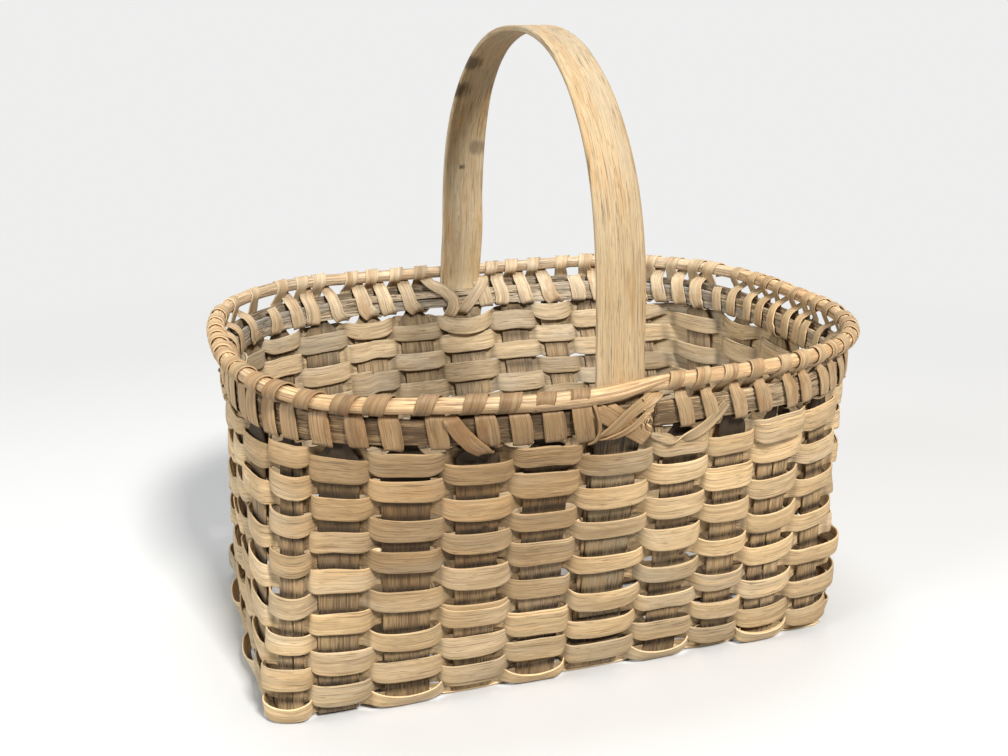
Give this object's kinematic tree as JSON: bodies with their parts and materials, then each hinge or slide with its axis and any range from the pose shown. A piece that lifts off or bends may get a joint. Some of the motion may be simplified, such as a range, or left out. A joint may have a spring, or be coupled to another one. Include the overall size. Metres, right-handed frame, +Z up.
{
  "type": "splint basket",
  "caption": "Rectangular-based market basket woven from flat wood splints, with an oval lashed rim and one fixed bent-wood handle arching across the middle.",
  "frame": {"origin": "on the floor, under the middle of the basket's overall length and width", "axes": "+X along the basket's length, +Y from the front side to the back side, +Z up"},
  "size_m": [0.3988, 0.3281, 0.3756],
  "materials": {
    "stake": "weathered split oak, dull grey-brown",
    "weaver": "shaved oak splint, dry and light brown",
    "rim_band": "rough split oak, weathered",
    "hoop": "smooth whittled rod, pale",
    "lashing": "thin bark-coloured splint, dry",
    "handle": "shaved oak, smooth and pale"
  },
  "bodies": {
    "root": {"cross_stake_01": "stake", "cross_stake_02": "stake", "cross_stake_03": "stake", "cross_stake_04": "stake", "cross_stake_05": "stake", "cross_stake_06": "stake", "cross_stake_07": "stake", "cross_stake_08": "stake", "cross_stake_09": "stake", "cross_stake_10": "stake", "long_stake_1": "stake", "long_stake_2": "stake", "long_stake_3": "stake", "long_stake_4": "stake", "long_stake_5": "stake", "base_edge_strip_front": "weaver", "base_edge_strip_back": "weaver", "weaver_row_01": "weaver", "weaver_row_02": "weaver", "weaver_row_03": "weaver", "weaver_row_04": "weaver", "weaver_row_05": "weaver", "weaver_row_06": "weaver", "weaver_row_07": "weaver", "weaver_row_08": "weaver", "weaver_row_09": "weaver", "weaver_row_10": "weaver", "weaver_row_11": "weaver", "weaver_row_12": "weaver", "weaver_row_13": "weaver", "weaver_row_14": "weaver", "weaver_row_15": "weaver", "outer_rim_band": "rim_band", "inner_rim_band": "rim_band", "rim_hoop": "hoop", "rim_lashing_right": "lashing", "rim_lashing_left": "lashing", "handle_tie_front": "lashing", "handle_tie_back": "lashing", "handle": "handle"}
  },
  "joints": []
}
